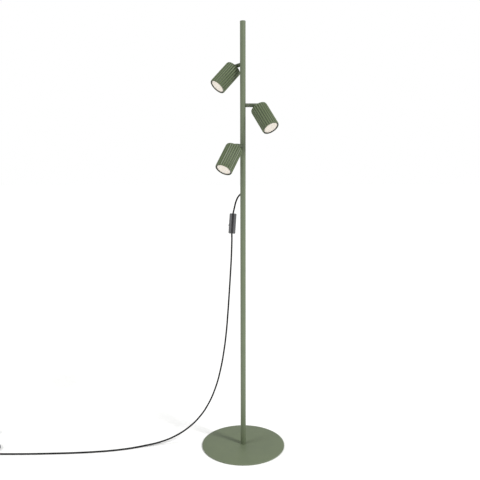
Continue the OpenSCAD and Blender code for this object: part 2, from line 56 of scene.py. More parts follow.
# Sizes in millimetres, the same as the design's. Names that end in _R are radii, and places along
# an arm or a head are counted from the pole's axis or from the tilt pivot.
RUN = 0.05             # clearance round a pin or a journal that turns
PAST = 1               # how far a cutter runs past what it cuts
WIDE = 9               # a cutter's reach past every side of an arm
POLE_R = 9.5
POLE_IN = 8.3          # inside radius of the pole's tubes
ARM_R = 6.5
ARM_REACH = 49         # from the pole's axis to the tilt pivot
COLLAR_START = 5       # start of the stub's collar, before the pole's round is cut out of it
STUB_END = 18
SPIGOT_R = 5           # the stub's end inside the pole
SPIGOT_START = 2.5
SPIGOT_END = 12.5
JOURNAL_R = 4          # the stub's end that the arm turns on
JOURNAL_END = 27.7
ARM_START = 18.6       # start of the turning arm, past its washer
LEAD_R = 2.2           # bore for the leads
PIVOT_R = 2
SLOT_W = 5.2           # slot of the arm's fork
TONGUE_T = 5
NECK_W = 9             # width of the tongue below its round end
FOOT_R = 6             # the tongue's foot against the head's back
FOOT_T = 2
STUD_R = 4
STUD_LEN = 7
HEAD_R = 30
HEAD_LEN = 91
HEAD_BACK = 12.5       # from the tilt pivot to the head's back
HEAD_FRONT = HEAD_BACK + HEAD_LEN
BORE_R = 26.5
BACK_T = 4
RIBS = 22
GROOVE_R = 2.6
GROOVE_DEPTH = 2.0
LIP = 1.2              # plain lip at both ends of the ribs
RIM_WALL = 0.8         # wall left outside the front ring's flange
FLANGE_T = 1.4
FLANGE_R = HEAD_R - GROOVE_DEPTH - RIM_WALL
RING_GAP = 0.4         # how far the front ring lies behind the rim
RING_R = 24            # opening of the front ring
LAMP_R = 25
FACE = HEAD_FRONT - 2  # front of the lamp
RING_FOOT = FACE - 4
LENS_R = 24.2
LENS_FRONT = HEAD_FRONT - 2.3
LENS_BACK = LENS_FRONT - 2.1


# ---------- camera ----------
EYE = Vector((0, -1.956, 0.995))
DOWN = 0.1202          # radians below the horizon
LEFT = 0.0054          # radians to the left of the pole
LEAN = -0.0018         # radians of roll
SENSOR = 36            # millimetres, as the lens is
LENS = 42


def set_camera():
    optics = bpy.data.cameras.new("camera")
    optics.sensor_width = SENSOR
    optics.lens = LENS
    camera = bpy.data.objects.new("camera", optics)
    bpy.context.scene.collection.objects.link(camera)
    camera.matrix_world = (
        Matrix.Translation(EYE) @ Matrix.Rotation(LEFT, 4, "Z")
        @ Matrix.Rotation(math.pi / 2 - DOWN, 4, "X") @ Matrix.Rotation(LEAN, 4, "Z"))
    bpy.context.scene.camera = camera


set_camera()

# ---------- mains cord, in metres ----------
CORD_D = 0.006
EXIT = Vector((0, 0.0095, 0.925))         # where the cord leaves the pole
RELIEF_TIP = Vector((0, 0.0335, 0.925))
SWITCH_AT = Vector((-0.038, 0.067, 0.811))
SWITCH_LEAN = math.radians(4)
SWITCH_LEN = 0.072
SWITCH_AXIS = Vector((math.sin(SWITCH_LEAN), 0, math.cos(SWITCH_LEAN)))
SWITCH_IN = SWITCH_AT + SWITCH_AXIS * SWITCH_LEN / 2
SWITCH_OUT = SWITCH_AT - SWITCH_AXIS * SWITCH_LEN / 2
PLUG_AT = Vector((-0.957, 0.062, 0.007))
COIL_AT = Vector((-0.920, -0.040, 0.001))
COIL_R = 5.5 * CORD_D                     # to the middle of its turns

UPPER_ROUTE = [
    Vector((0, 0.00415, 0.925)), RELIEF_TIP - Vector((0, 0.012, 0)), RELIEF_TIP,
    RELIEF_TIP + Vector((-0.001, 0.011, -0.001)), RELIEF_TIP + Vector((-0.007, 0.022, -0.006)),
    RELIEF_TIP + Vector((-0.017, 0.030, -0.017)), RELIEF_TIP + Vector((-0.025, 0.034, -0.034)),
    SWITCH_IN + Vector((0.0045, 0.001, 0.021)), SWITCH_IN]
LOWER_ROUTE = [
    SWITCH_OUT, (-0.0405, 0.066, 0.755), (-0.0425, 0.062, 0.690),
    (-0.0465, 0.058, 0.620), (-0.051, 0.054, 0.550),
    (-0.056, 0.051, 0.480), (-0.062, 0.048, 0.410), (-0.071, 0.045, 0.340),
    (-0.084, 0.042, 0.270), (-0.102, 0.038, 0.205), (-0.128, 0.033, 0.145),
    (-0.163, 0.026, 0.094), (-0.206, 0.018, 0.055), (-0.254, 0.008, 0.028),
    (-0.306, -0.004, 0.012), (-0.360, -0.018, 0.0054), (-0.415, -0.036, 0.0034),
    (-0.475, -0.051, 0.0031), (-0.540, -0.061, 0.0031), (-0.610, -0.068, 0.0031),
    (-0.680, -0.072, 0.0031), (-0.750, -0.075, 0.0031), (-0.820, -0.076, 0.0031),
    (-0.870, -0.076, 0.0031), (-0.908, -0.076, 0.0038)]
TAIL_ROUTE = [
    (-0.956, -0.026, 0.0102), (-0.957, -0.008, 0.009), (-0.957, 0.012, 0.0076),
    (-0.957, 0.037, 0.007), PLUG_AT]

COIL_TURNS = 3.25
STEPS_PER_TURN = 16
# Where, in turns from the start, the cord moves inwards, climbs a layer and moves out again
MOVES_IN = (0.85, 1.0)
CLIMBS = (1.70, 1.85)
MOVES_OUT = (2.55, 2.70)


def share(turn, span):
    """How far a turn has come through a span, from 0 to 1."""
    return min(max((turn - span[0]) / (span[1] - span[0]), 0), 1)


def coil_route():
    """Turns beside and on each other, a diameter apart, clockwise from the front."""
    route = []
    for step in range(1, int(COIL_TURNS * STEPS_PER_TURN) + 1):
        turn = step / STEPS_PER_TURN
        angle = -math.pi / 2 - 2 * math.pi * turn
        inwards = share(turn, MOVES_IN) - share(turn, MOVES_OUT)
        radius = COIL_R + CORD_D * (0.5 - inwards)
        height = CORD_D * (0.5 + share(turn, CLIMBS))
        turned_to = Vector((radius * math.cos(angle), radius * math.sin(angle), height))
        route.append(COIL_AT + turned_to)
    return route


def make_cord():
    line = bpy.data.curves.new("mains_cord", "CURVE")
    line.dimensions = "3D"
    line.bevel_depth = CORD_D / 2
    line.bevel_resolution = 4
    line.resolution_u = 8
    line.use_fill_caps = True
    knots = line.splines.new("BEZIER")
    route = UPPER_ROUTE + LOWER_ROUTE + coil_route() + TAIL_ROUTE
    knots.bezier_points.add(len(route) - 1)
    for knot, point in zip(knots.bezier_points, route):
        knot.co = point
        knot.handle_left_type = knot.handle_right_type = "AUTO"
    cord = bpy.data.objects.new("mains_cord", line)
    bpy.context.scene.collection.objects.link(cord)
    return cord


mains_cord = make_cord()


# ---------- materials ----------
NOISE_SPAN = (0.3, 0.7)                   # where nearly all of the noise lies
MIX_FIRST, MIX_SECOND, MIX_RESULT = 6, 7, 2     # a Mix node's colour sockets


def linear(code):
    """An sRGB hex colour as linear RGBA."""
    tones = [int(code[i:i + 2], 16) / 255 for i in (1, 3, 5)]
    return (*[t / 12.92 if t <= 0.04045 else ((t + 0.055) / 1.055) ** 2.4 for t in tones], 1)


def add(material, kind, links=None, **settings):
    """Adds a node to a material or world, sets its properties, and sets or links its sockets."""
    node = material.node_tree.nodes.new("ShaderNode" + kind)
    for name, value in settings.items():
        setattr(node, name, value)
    for socket, value in (links or {}).items():
        if isinstance(value, bpy.types.NodeSocket):
            material.node_tree.links.new(value, node.inputs[socket])
        else:
            node.inputs[socket].default_value = value
    return node


def new_material(name, **surface):
    """A material and its shader, with the shader's own sockets set."""
    material = bpy.data.materials.new(name)
    material.use_nodes = True
    shader = material.node_tree.nodes["Principled BSDF"]
    for socket, value in surface.items():
        shader.inputs[socket.replace("_", " ")].default_value = value
    return material, shader


def grain(material, size_mm, detail=2, stretch=None):
    """Noise whose lumps are about size_mm across."""
    place = add(material, "TexCoord").outputs["Object"]
    if stretch:
        place = add(material, "Mapping", {"Vector": place, "Scale": stretch}).outputs[0]
    scale = 1 / (size_mm * MM)
    return add(material, "TexNoise", {"Vector": place, "Scale": scale, "Detail": detail})


def between(material, noise, low, high):
    """A value from low to high as the noise goes through its middle range."""
    span = add(material, "MapRange", {
        "Value": noise.outputs["Fac"], "From Min": NOISE_SPAN[0], "From Max": NOISE_SPAN[1],
        "To Min": low, "To Max": high})
    return span.outputs[0]


def tint(material, factor, first, second):
    """A colour mixed from two hex colours."""
    mix = add(material, "Mix", {
        "Factor": factor, MIX_FIRST: linear(first), MIX_SECOND: linear(second)}, data_type="RGBA")
    return mix.outputs[MIX_RESULT]


def relief(material, shader, height, depth_mm, strength):
    """A bump of a real depth."""
    bump = add(material, "Bump", {"Height": height, "Distance": depth_mm * MM, "Strength": strength})
    material.node_tree.links.new(bump.outputs[0], shader.inputs["Normal"])


def connect(material, shader, **outputs):
    """Links outputs to the shader's sockets, named with _ for a space."""
    for socket, output in outputs.items():
        material.node_tree.links.new(output, shader.inputs[socket.replace("_", " ")])


def powder_coat(name, light, dark, peel_mm, roughness, groove_shade_colour=None):
    """Polyester powder baked on: fine orange peel, a satin skin, and a tone that drifts a little.
    Where a groove colour is given, the grooves get a painted shade, darker the deeper they lie."""
    material, shader = new_material(name, IOR=1.5, Specular_IOR_Level=0.5)
    drift = grain(material, size_mm=60, detail=3)
    peel = grain(material, peel_mm, detail=3)
    speck = grain(material, size_mm=0.9, detail=1)
    colour = tint(material, between(material, drift, 0, 1), light, dark)
    # Painted shade: the grooves are darkened towards their bottoms
    if groove_shade_colour:
        depth = add(material, "Attribute", attribute_name="groove")
        painted_groove_shade = add(material, "Mix", {
            "Factor": depth.outputs["Fac"], MIX_FIRST: colour, MIX_SECOND: linear(groove_shade_colour)},
            data_type="RGBA")
        colour = painted_groove_shade.outputs[MIX_RESULT]
    connect(material, shader, Base_Color=colour,
            Roughness=between(material, speck, roughness - 0.03, roughness + 0.04))
    relief(material, shader, peel.outputs["Fac"], depth_mm=0.02, strength=0.3)
    return material


def moulded(name, light, dark, roughness, grit_mm=0.6, gloss=0.5):
    """Plastic moulded in a spark-eroded tool: an even fine grit and a little gloss."""
    material, shader = new_material(name, IOR=1.53, Specular_IOR_Level=gloss)
    grit = grain(material, grit_mm, detail=3)
    drift = grain(material, size_mm=14, detail=2)
    connect(material, shader,
            Base_Color=tint(material, between(material, drift, 0, 1), light, dark),
            Roughness=between(material, grit, roughness - 0.06, roughness + 0.06))
    relief(material, shader, grit.outputs["Fac"], depth_mm=0.03, strength=0.4)
    return material


def plated(name, light, dark, roughness):
    """Bright metal, plated or rolled: fine lines from the tool and a thin cloudy film."""
    material, shader = new_material(name, Metallic=1)
    lines = grain(material, size_mm=0.8, detail=2, stretch=(1, 1, 6))
    cloud = grain(material, size_mm=6, detail=3)
    connect(material, shader,
            Base_Color=tint(material, between(material, cloud, 0, 1), light, dark),
            Roughness=between(material, lines, roughness - 0.08, roughness + 0.08))
    relief(material, shader, lines.outputs["Fac"], depth_mm=0.01, strength=0.3)
    return material


# Sage polyester powder on steel tube and plate
sage_steel = powder_coat("sage_powder_coated_steel", "#69735A", "#656F58", 1.2, 0.46)
# The same powder on machined aluminium, in a darker copy as painted shade on the arms, stubs and tongues
sage_aluminium = powder_coat("sage_powder_arms_painted_shade", "#4F5843", "#4A533F", 0.9, 0.42)
# The same powder on the head shells, in a darker copy as painted shade, with more painted shade deepest in
# the grooves
sage_fluted = powder_coat("sage_powder_fluting_painted_shade", "#5F6D4A", "#596745", 0.9, 0.42,
                          groove_shade_colour="#384229")
# Fasteners and fittings: zinc, rolled brass strip and nickelled pins
zinc = plated("zinc_plated_steel", "#C4C6C8", "#A9ACB0", 0.36)
brass = plated("rolled_brass", "#D9B565", "#B8924A", 0.34)
nickel = plated("nickel_plated_brass", "#D2D0CB", "#BDBBB4", 0.24)
# Solid rubber pad and glands: matt, slightly dusty black
rubber = moulded("black_rubber", "#242426", "#1A1A1C", 0.72, 0.5)
# Extruded PVC sheath, softened with oil: black and nearly matt, a faint drift along its length
sheath = moulded("cord_pvc", "#08080A", "#050506", 0.66, 1.5, gloss=0.3)
# ABS of the switch and the plug, and the tape that holds the coil
black_abs = moulded("black_abs", "#222224", "#1A1A1C", 0.40)
grey_abs = moulded("graphite_abs", "#5E5E60", "#545456", 0.38)
tie_fabric = moulded("hook_and_loop_tape", "#303033", "#222225", 0.85, 0.8)
# Hidden inside: unfilled nylon, white polycarbonate, fired steatite and soft silicone round wires
nylon = moulded("natural_nylon", "#CFCDBF", "#C2C0B1", 0.5)
white_polycarbonate = moulded("white_polycarbonate", "#E9E6DE", "#DFDCD3", 0.42)
steatite = moulded("steatite_ceramic", "#E6E2D6", "#D8D3C4", 0.62)
silicone = moulded("silicone_insulation", "#C9C8C2", "#BAB9B2", 0.55)


def frosted_diffuser():
    """Cream opal polycarbonate: light spreads in it, so it has no hard shade, and a faint painted glow
    brightens it.
    """
    # The faint emission is painted light that brightens the lens
    material, shader = new_material(
        "opal_diffuser", IOR=1.58, Subsurface_Weight=0.1, Subsurface_Radius=(0.002, 0.002, 0.0015),
        Subsurface_Scale=1, Emission_Color=linear("#FFF1DC"), Emission_Strength=0.02)
    frost = grain(material, size_mm=0.7, detail=3)
    drift = grain(material, size_mm=18, detail=2)
    connect(material, shader,
            Base_Color=tint(material, between(material, drift, 0, 1), "#EBE3D8", "#E7DED1"),
            Roughness=between(material, frost, 0.32, 0.46))
    relief(material, shader, frost.outputs["Fac"], depth_mm=0.01, strength=0.2)
    return material


opal = frosted_diffuser()


# ---------- modelling ----------
WELD = 1e-4            # corners closer than this are one corner
SLACK = 0.1            # room for rounding when corners are told apart by their place


def only(piece):
    """Leaves one object selected and active."""
    bpy.ops.object.select_all(action="DESELECT")
    piece.select_set(True)
    bpy.context.view_layer.objects.active = piece


def begin(name, add_primitive, **settings):
    """Adds a primitive with nothing else selected, and opens it for editing by its corners."""
    bpy.ops.object.select_all(action="DESELECT")
    add_primitive(**settings)
    piece = bpy.context.object
    piece.name = piece.data.name = name
    bpy.ops.object.transform_apply(location=True, rotation=True, scale=True)
    bpy.ops.object.mode_set(mode="EDIT")
    bpy.ops.mesh.select_mode(type="VERT")
    return piece


def done():
    bpy.ops.object.mode_set(mode="OBJECT")


def pick(piece, kind, chosen):
    """Selects the corners, edges or faces whose middle passes the test."""
    bpy.ops.mesh.select_mode(type=kind)
    bpy.ops.mesh.select_all(action="DESELECT")
    mesh = bmesh.from_edit_mesh(piece.data)
    parts = {"VERT": mesh.verts, "EDGE": mesh.edges, "FACE": mesh.faces}[kind]
    for part in parts:
        corners = [part] if kind == "VERT" else part.verts
        middle = sum((v.co for v in corners), Vector()) / len(corners)
        if chosen(middle):
            part.select_set(True)
    mesh.select_flush_mode()
    bmesh.update_edit_mesh(piece.data)


def radius_of(point):
    return math.hypot(point.x, point.y)


def near(value, target, slack=SLACK / 2):
    return abs(value - target) < slack


def turned(name, outline, steps=64):
    """A turned piece: its outline of (radius, height) corners is drawn from one corner and spun.
    An outline that starts and ends on the axis is solid, and any other is closed to a ring."""
    first, last = [Vector((radius, 0, height)) for radius, height in (outline[0], outline[-1])]
    piece = begin(name, bpy.ops.mesh.primitive_plane_add, size=1, location=first)
    bpy.ops.mesh.select_all(action="SELECT")
    bpy.ops.mesh.merge(type="CENTER")
    for (r0, z0), (r1, z1) in zip(outline, outline[1:]):
        bpy.ops.mesh.extrude_vertices_move(TRANSFORM_OT_translate={"value": (r1 - r0, 0, z1 - z0)})
    bpy.ops.mesh.select_all(action="SELECT")
    if outline[0][0] > 0:
        pick(piece, "VERT", lambda v: min((v - first).length, (v - last).length) < WELD)
        bpy.ops.mesh.edge_face_add()
    bpy.ops.mesh.select_mode(type="VERT")
    bpy.ops.mesh.select_all(action="SELECT")
    bpy.ops.mesh.spin(steps=steps, angle=2 * math.pi, center=(0, 0, 0), axis=(0, 0, 1))
    bpy.ops.mesh.select_all(action="SELECT")
    bpy.ops.mesh.remove_doubles(threshold=WELD)
    bpy.ops.mesh.normals_make_consistent(inside=False)
    done()
    return piece


# How a cylinder that stands on end is turned to lie along an axis
ALONG = {"X": (0, math.pi / 2, 0), "Y": (-math.pi / 2, 0, 0), "Z": (0, 0, 0)}


def rod(name, axis, start, end, radius, at=(0, 0, 0), corners=48):
    """A plain rod along an axis, as a blank or a cutter."""
    middle = Vector(at) + Vector([(start + end) / 2 if axis == a else 0 for a in "XYZ"])
    piece = begin(name, bpy.ops.mesh.primitive_cylinder_add, vertices=corners, radius=radius,
                  depth=end - start, location=middle, rotation=ALONG[axis])
    done()
    return piece


def block(name, low, high):
    """A plain block between two corners, as a blank or a cutter."""
    low, high = Vector(low), Vector(high)
    piece = begin(name, bpy.ops.mesh.primitive_cube_add, size=1, location=(low + high) / 2,
                  scale=high - low)
    done()
    return piece


def cut(piece, tool, how="DIFFERENCE"):
    """Cuts with a tool, welds it on, or keeps what both hold. The tool is used up."""
    only(piece)
    change = piece.modifiers.new("cut", "BOOLEAN")
    change.operation = how
    change.solver = "EXACT"
    change.object = tool
    bpy.ops.object.modifier_apply(modifier=change.name)
    bpy.data.objects.remove(tool)
    return piece


def soften(piece, width, segments=2, angle=40):
    """Rounds every edge sharper than the angle."""
    only(piece)
    edge = piece.modifiers.new("soften", "BEVEL")
    edge.width = width
    edge.segments = segments
    edge.limit_method = "ANGLE"
    edge.angle_limit = math.radians(angle)
    bpy.ops.object.modifier_apply(modifier=edge.name)
    return piece


def twin(piece, name):
    """A copy with its own mesh."""
    other = piece.copy()
    other.data = piece.data.copy()
    other.name = other.data.name = name
    bpy.context.scene.collection.objects.link(other)
    return other


def settle(piece, material, body=BODY, place=Matrix(), stands_for=(), angle=35):
    """Brings a piece to its place in metres and gives it its shading, finish and body."""
    only(piece)
    bpy.ops.object.shade_smooth_by_angle(angle=math.radians(angle))
    piece.data.transform(place @ Matrix.Scale(MM, 4))
    piece.data.materials.clear()
    piece.data.materials.append(material)
    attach(piece, body)
    if stands_for:
        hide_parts(*stands_for)
    return piece


def frame_of(origin, forward, across):
    """A place whose Z runs forward and whose Y runs across."""
    z = Vector(forward).normalized()
    y = Vector(across).normalized()
    x = y.cross(z)
    return Matrix.Translation(origin) @ Matrix((x, y, z)).transposed().to_4x4()


def middle_of(node):
    low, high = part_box(node)
    return (low + high) / 2


JOINTS = {joint["name"]: joint for joint in frame["joints"]}


def arm_place(level):
    """The arm's own frame: Z outwards from the pole's axis, Y along the tilt pivot."""
    swivel = JOINTS[level + "_swivel"]
    height = swivel["pos_m"][2]
    return frame_of(Vector((0, 0, height)), swivel["axis"], JOINTS[level + "_tilt"]["axis"])


def head_place(level):
    """The head's own frame: origin on the tilt pivot, Z the way the light leaves."""
    tilt = JOINTS[level + "_tilt"]
    pivot = Vector(tilt["pos_m"])
    return frame_of(pivot, middle_of(level + "_lamp_lens") - pivot, tilt["axis"])


# ---------- base and pole ----------
SCREW_HOLE_R = 3.2     # the base screw's hole, and its countersink
SINK_R = 6.05
SINK_DEPTH = 3
SPIGOT_SPACE = 0.2     # a stub's hole is wider than its spigot by this
CAP_RIM = 1.5          # height of the cap's rim on the tube
CAP_T = 2.5
CAP_WALL = 1.2
RELIEF_NECK_R = 3.9    # the strain relief where it passes through the tube


def top_of(node):
    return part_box(node)[1].z / MM


def foot_of(node):
    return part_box(node)[0].z / MM


def make_base():
    """Flat disc with a rounded rim and a countersunk hole in its middle."""
    low, high = foot_of("base_plate"), top_of("base_plate")
    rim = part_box("base_plate")[1].x / MM
    disc = turned("base_disc", [
        (SCREW_HOLE_R, high), (rim, high), (rim, low), (SINK_R, low),
        (SCREW_HOLE_R, low + SINK_DEPTH)], steps=192)
    soften(disc, 0.6, segments=3, angle=50)
    settle(disc, sage_steel, stands_for=["base_plate"])


def make_tube(name, node, holes=()):
    """Drawn tube, drilled at each (place, radius) and deburred."""
    low, high = foot_of(node), top_of(node)
    tube = turned(name, [(POLE_IN, low), (POLE_R, low), (POLE_R, high), (POLE_IN, high)], steps=96)
    for place, radius in holes:
        tool = rod("drill", "Z", POLE_IN / 2, POLE_R + PAST, radius)
        tool.data.transform(place)
        cut(tube, tool)
    soften(tube, 0.15, segments=2, angle=60)
    settle(tube, sage_steel, stands_for=[node])


def in_mm(place):
    """A place in metres as one in millimetres."""
    changed = place.copy()
    changed.translation = place.translation / MM
    return changed


def make_pole():
    """Two tubes that meet in line, the upper one drilled for the arms and the cord, and a cap."""
    cord_hole = frame_of(Vector((0, 0, EXIT.z)), (0, 1, 0), (1, 0, 0))
    holes = [(in_mm(arm_place(level)), SPIGOT_R + SPIGOT_SPACE) for level in LEVELS]
    holes.append((in_mm(cord_hole), RELIEF_NECK_R))
    make_tube("lower_tube", "lower_pole")
    make_tube("upper_tube", "upper_pole", holes)
    high = top_of("pole_cap")
    low = foot_of("pole_cap")
    cap = turned("top_cap", [
        (0, high), (POLE_R, high), (POLE_R, high - CAP_RIM), (POLE_IN, high - CAP_RIM),
        (POLE_IN, low), (POLE_IN - CAP_WALL, low), (POLE_IN - CAP_WALL, high - CAP_T),
        (0, high - CAP_T)], steps=96)
    soften(cap, 0.5, segments=3, angle=50)
    settle(cap, sage_steel, stands_for=["pole_cap"])


make_base()
make_pole()


# ---------- arms ----------
SLOT_DEEP = 7.6        # from the tilt pivot back to the slot's end
PIVOT_END = 5.7        # blind end of the pivot screw's hole
RECESS_AT = 4.2        # floor of the recess for its head
RECESS_R = 3.6
SET_AT = 23.2          # the set screw, along the arm
SET_R = 1.5
TONGUE_R = ARM_R - 0.3


def make_stub():
    """Collar seated on the pole's round side, with the spigot behind it and the journal in front."""
    collar = turned("fixed_arm", [
        (SPIGOT_R, COLLAR_START), (ARM_R, COLLAR_START), (ARM_R, STUB_END), (JOURNAL_R, STUB_END),
        (JOURNAL_R, SPIGOT_END), (SPIGOT_R, SPIGOT_END)])
    soften(collar, 0.35)
    cut(collar, rod("saddle", "X", -3 * ARM_R, 3 * ARM_R, POLE_R, corners=96))
    core = turned("core", [
        (LEAD_R, SPIGOT_START), (SPIGOT_R, SPIGOT_START), (SPIGOT_R, SPIGOT_END),
        (JOURNAL_R, SPIGOT_END), (JOURNAL_R, JOURNAL_END), (LEAD_R, JOURNAL_END)])
    only(collar)
    core.select_set(True)
    bpy.ops.object.join()
    return collar


def make_turning_arm():
    """Round bar with a fork milled in its rounded end and a recess for the pivot screw."""
    arm = rod("turning_arm", "Z", ARM_START, ARM_REACH + ARM_R, ARM_R, corners=64)
    former = rod("former", "Y", -2 * ARM_R, 2 * ARM_R, ARM_R, at=(0, 0, ARM_REACH), corners=64)
    cut(former, block("shank", (-WIDE, -WIDE, ARM_START - PAST), (WIDE, WIDE, ARM_REACH)), "UNION")
    cut(arm, former, "INTERSECT")
    cut(arm, block("slot", (-WIDE, -SLOT_W / 2, ARM_REACH - SLOT_DEEP),
                   (WIDE, SLOT_W / 2, ARM_REACH + WIDE)))
    cut(arm, rod("journal_bore", "Z", ARM_START - PAST, JOURNAL_END + 2 * RUN, JOURNAL_R + RUN))
    cut(arm, rod("lead_bore", "Z", ARM_START, ARM_REACH, LEAD_R))
    cut(arm, rod("pivot_bore", "Y", -WIDE, PIVOT_END, PIVOT_R, at=(0, 0, ARM_REACH)))
    cut(arm, rod("recess", "Y", -WIDE, -RECESS_AT, RECESS_R, at=(0, 0, ARM_REACH)))
    cut(arm, rod("set_hole", "X", 0, WIDE, SET_R, at=(0, 0, SET_AT)))
    return soften(arm, 0.3, angle=45)


def make_tongue():
    """Tongue that hangs in the fork, with a foot against the head's back and a stud through it."""
    side, half = NECK_W / 2, TONGUE_T / 2
    tongue = rod("tongue", "Y", -half, half, TONGUE_R, corners=64)
    cut(tongue, block("web", (-side, -half, 0), (side, half, HEAD_BACK - FOOT_T / 2)), "UNION")
    cut(tongue, rod("foot", "Z", HEAD_BACK - FOOT_T, HEAD_BACK, FOOT_R), "UNION")
    cut(tongue, rod("stud", "Z", HEAD_BACK - 2 * RUN, HEAD_BACK + STUD_LEN, STUD_R), "UNION")
    cut(tongue, rod("pivot_bore", "Y", -WIDE, WIDE, PIVOT_R + RUN))
    cut(tongue, rod("lead_bore", "Z", HEAD_BACK - PAST, HEAD_BACK + STUD_LEN + 2 * PAST, LEAD_R))
    return soften(tongue, 0.25, angle=45)


# ---------- heads ----------
COLUMNS = 12           # corners from one groove to the next
CROWN = 0.4            # how far a rib's edges lie below its middle
ROUND_IN = (0, 0.5, 0.85, 1)     # how the ribs rise from the lip
RISE = 0.4             # length of one step of that rise
RIM_ROUND = 0.4        # rounding of the shell's rims
HOLE_R = STUD_R + RUN  # hole in the head's back for the tongue's stud


def groove_offset(column):
    """How far a column lies in from the ribs' crests."""
    pitch = 2 * math.pi * HEAD_R / RIBS
    along = column * pitch / COLUMNS
    mouth = math.sqrt(GROOVE_R ** 2 - (GROOVE_R - GROOVE_DEPTH) ** 2)
    if along >= mouth:
        return CROWN * ((pitch / 2 - along) / (pitch / 2 - mouth)) ** 2
    return max(math.sqrt(GROOVE_R ** 2 - along ** 2) - (GROOVE_R - GROOVE_DEPTH), CROWN)


def column_of(corner):
    """How many columns a corner lies from the middle of the nearest groove."""
    turn = round(math.atan2(corner.x, corner.y) / (2 * math.pi) * RIBS * COLUMNS) % COLUMNS
    return min(turn, COLUMNS - turn)


def flute(shell, lip_r):
    """Cuts rings of edges near both lips, and moves each ring's corners out to ribs or in to grooves."""
    stations = {}
    for step, rise in enumerate(ROUND_IN):
        stations[HEAD_BACK + LIP + RISE * step] = rise
        stations[HEAD_FRONT - LIP - RISE * step] = rise
    for height in stations:
        bpy.ops.mesh.select_all(action="SELECT")
        bpy.ops.mesh.bisect(plane_co=(0, 0, height), plane_no=(0, 0, 1))
    for height, rise in stations.items():
        for column in range(COLUMNS // 2 + 1):
            target = lip_r + rise * (HEAD_R - groove_offset(column) - lip_r)
            pick(shell, "VERT", lambda v: near(v.z, height, SLACK / 10) and column_of(v) == column)
            bpy.ops.transform.resize(value=(target / lip_r, target / lip_r, 1),
                                     center_override=(0, 0, height))


def hollow(shell, lip_r):
    """Sinks the ring's seat and the bore from the front, and opens the back for the stud."""
    pick(shell, "FACE", lambda m: near(m.z, HEAD_FRONT) and radius_of(m) < 1)
    bpy.ops.mesh.inset(thickness=lip_r - FLANGE_R)
    bpy.ops.mesh.extrude_region_move(TRANSFORM_OT_translate={"value": (0, 0, -FLANGE_T)})
    bpy.ops.mesh.inset(thickness=FLANGE_R - BORE_R)
    bpy.ops.mesh.extrude_region_move(TRANSFORM_OT_translate={"value": (0, 0, BACK_T + FLANGE_T - HEAD_LEN)})
    bpy.ops.mesh.inset(thickness=BORE_R - HOLE_R)
    pick(shell, "FACE", lambda m: near(m.z, HEAD_BACK) and radius_of(m) < 1)
    bpy.ops.mesh.inset(thickness=lip_r - HOLE_R)
    pick(shell, "FACE", lambda m: radius_of(m) < 1)
    bpy.ops.mesh.bridge_edge_loops()


def make_shell():
    """Can with round-bottomed grooves between its ribs, a plain lip at both ends, and a deep bore."""
    lip_r = HEAD_R - GROOVE_DEPTH / 2
    shell = begin("shell", bpy.ops.mesh.primitive_cylinder_add, vertices=RIBS * COLUMNS, radius=lip_r,
                  depth=HEAD_LEN, location=(0, 0, HEAD_BACK + HEAD_LEN / 2), end_fill_type="NGON")
    flute(shell, lip_r)
    hollow(shell, lip_r)
    ends = (HEAD_BACK, HEAD_FRONT)
    pick(shell, "EDGE", lambda m: min(abs(m.z - e) for e in ends) < SLACK / 10
         and (near(radius_of(m), lip_r, SLACK) or near(radius_of(m), FLANGE_R, SLACK)))
    bpy.ops.mesh.bevel(offset=RIM_ROUND, segments=3, affect="EDGES")
    bpy.ops.mesh.select_all(action="SELECT")
    bpy.ops.mesh.normals_make_consistent(inside=False)
    done()
    mark_grooves(shell)
    return shell


def mark_grooves(shell):
    """Writes how deep each outer corner lies in a groove, from 0 on a rib to 1 at the bottom, as the mask
    of the painted shade in the grooves.
    """
    groove = shell.data.attributes.new("groove", "FLOAT", "POINT")
    for corner, depth in zip(shell.data.vertices, groove.data):
        between_lips = HEAD_BACK + LIP < corner.co.z < HEAD_FRONT - LIP - SLACK
        outside = radius_of(corner.co) > FLANGE_R + SLACK
        ribbed = between_lips and outside
        depth.value = (HEAD_R - radius_of(corner.co)) / GROOVE_DEPTH if ribbed else 0


LENS_CROWN = 0.7       # how far the lens's middle stands out
LENS_BORDER = 2.2      # width of the flat ring round the crown
LENS_EDGE = 0.3        # chamfer of its outer edge
LENS_STEP = 0.4        # slope from the ring to the crown
CROWN_STEPS = 8


def make_lens():
    """Pressed opal disc, slightly crowned, with a flat ring round its edge."""
    crown_r = LENS_R - LENS_BORDER
    crown = []
    for step in range(CROWN_STEPS):
        angle = math.pi / 2 * (1 - step / CROWN_STEPS)
        crown.append((crown_r * math.sin(angle), LENS_FRONT + LENS_CROWN * math.cos(angle)))
    outline = [(0, LENS_BACK), (LENS_R, LENS_BACK), (LENS_R, LENS_FRONT - LENS_EDGE),
               (LENS_R - LENS_EDGE, LENS_FRONT), (crown_r + LENS_STEP, LENS_FRONT)]
    return turned("lens", outline + crown + [(0, LENS_FRONT + LENS_CROWN)], steps=96)


RING_SLOPE = 1.2       # width of the ring's slope, and height of its inner edge
RING_EDGE = 0.5


def make_ring():
    """Black ring pressed in behind the rim. It slopes in to the lamp and holds it."""
    face = HEAD_FRONT - RING_GAP
    seat = HEAD_FRONT - FLANGE_T
    ring = turned("trim_ring", [
        (LAMP_R, RING_FOOT), (BORE_R, RING_FOOT), (BORE_R, seat), (FLANGE_R, seat), (FLANGE_R, face),
        (RING_R + RING_SLOPE, face), (RING_R, FACE + RING_EDGE), (RING_R, FACE), (LAMP_R, FACE)],
        steps=96)
    return soften(ring, 0.12, angle=50)


